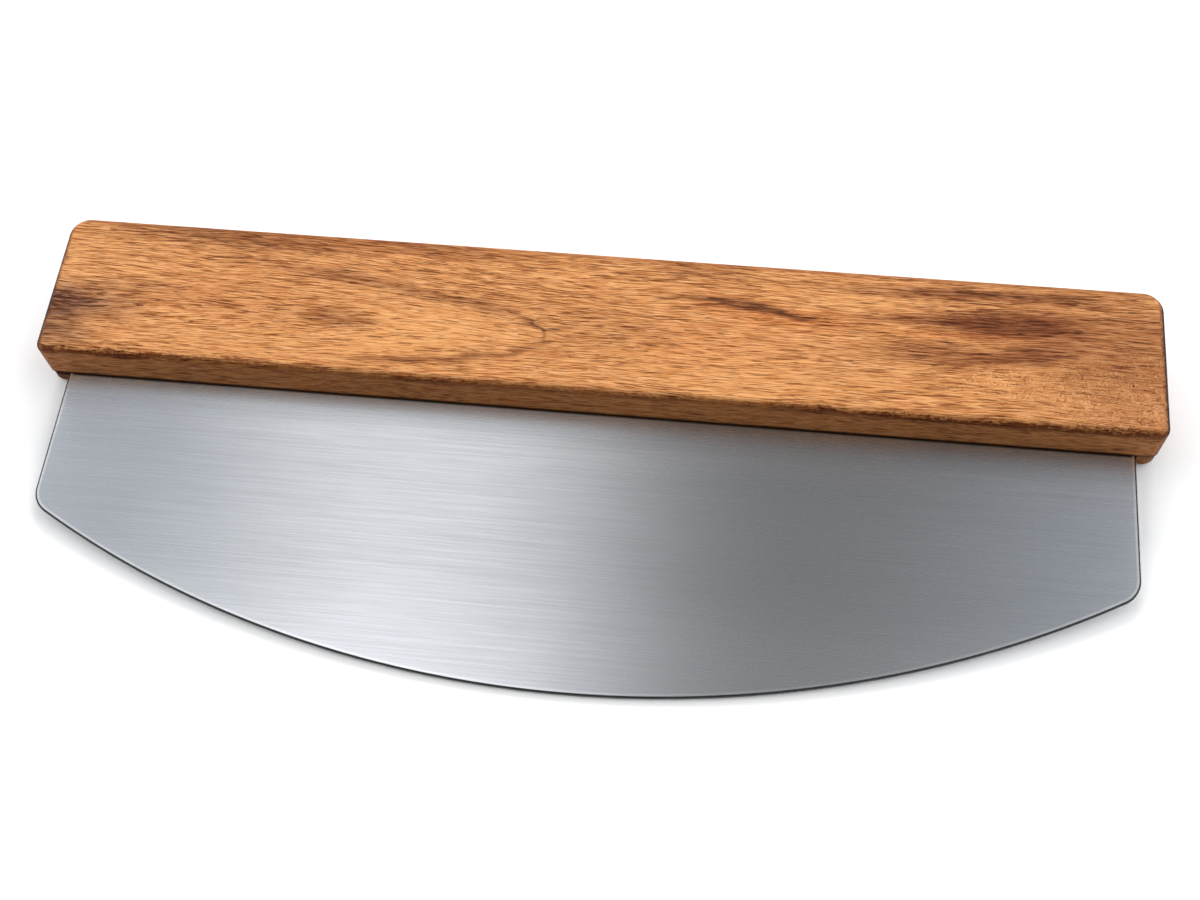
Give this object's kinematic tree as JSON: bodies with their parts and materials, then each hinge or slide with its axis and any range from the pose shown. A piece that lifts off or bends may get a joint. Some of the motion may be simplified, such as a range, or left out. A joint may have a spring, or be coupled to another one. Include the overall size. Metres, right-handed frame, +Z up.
{
  "type": "rocking pizza knife",
  "caption": "Wide stainless blade with one curved edge, bonded along a straight wooden handle, for rocking through pizza.",
  "frame": {"origin": "on the table that the knife lies on, under the middle of its outline", "axes": "+X along the handle, +Y from the cutting edge to the top of the handle, +Z up out of the front face"},
  "size_m": [0.355, 0.144, 0.0241],
  "materials": {
    "handle_wood": "oiled, satin",
    "blade_steel": "brushed lengthwise",
    "epoxy": "cured glue",
    "pin_steel": "plain drawn"
  },
  "bodies": {
    "root": {"front_scale": "handle_wood", "back_scale": "handle_wood", "blade": "blade_steel", "epoxy_bond": "epoxy", "pin_left": "pin_steel", "pin_middle": "pin_steel", "pin_right": "pin_steel"}
  },
  "joints": []
}
